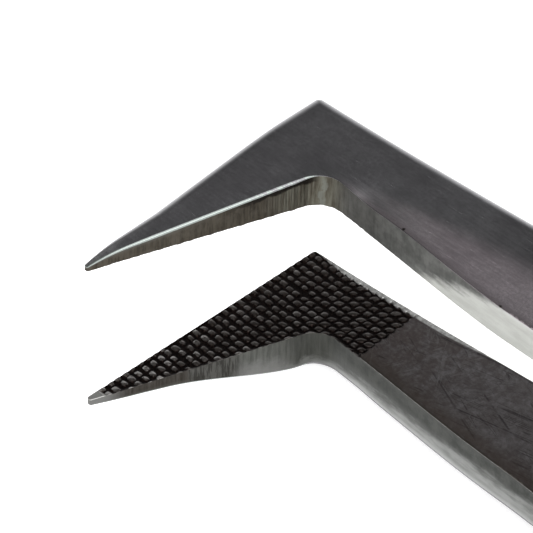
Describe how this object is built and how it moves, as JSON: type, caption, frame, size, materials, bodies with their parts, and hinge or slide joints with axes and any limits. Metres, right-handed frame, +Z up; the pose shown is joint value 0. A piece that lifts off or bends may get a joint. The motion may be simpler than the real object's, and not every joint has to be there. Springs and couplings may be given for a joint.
{
  "type": "tweezers",
  "caption": "Sprung steel tweezers with boot-shaped toes at a right angle to the arms and cross-hatched gripping faces, for placing eyelash extensions or nail gems.",
  "frame": {"origin": "on the lower arm's flat finger face, midway along the finger zone: the tweezers rest on this face", "axes": "+X from the toes towards the welded tail; -Y the way the boots point; +Z up, the way the arms open, square to the rest face"},
  "size_m": [0.125, 0.0168, 0.014],
  "materials": {
    "arm_steel": "dark satin, ground edges",
    "weld_metal": "fused, matt"
  },
  "bodies": {
    "tail": {"upper_arm_tail": "arm_steel", "lower_arm_tail": "arm_steel", "weld_nugget_1": "weld_metal", "weld_nugget_2": "weld_metal"},
    "upper_arm": {"upper_arm": "arm_steel"},
    "lower_arm": {"lower_arm": "arm_steel"}
  },
  "joints": [
    {"name": "upper_arm_flex", "type": "hinge", "parent": "tail", "child": "upper_arm", "pos_m": [0.05, 0, 0.00826], "axis": [0, -1, 0], "range_deg": [0, 2.16], "stiffness_Nm_per_rad": 1.6},
    {"name": "lower_arm_flex", "type": "hinge", "parent": "tail", "child": "lower_arm", "pos_m": [0.05, 0, 0.00574], "axis": [0, 1, 0], "range_deg": [0, 2.16], "stiffness_Nm_per_rad": 1.6}
  ],
  "couplings": [
    {"joint": "lower_arm_flex", "follows": "upper_arm_flex", "ratio": 1}
  ]
}
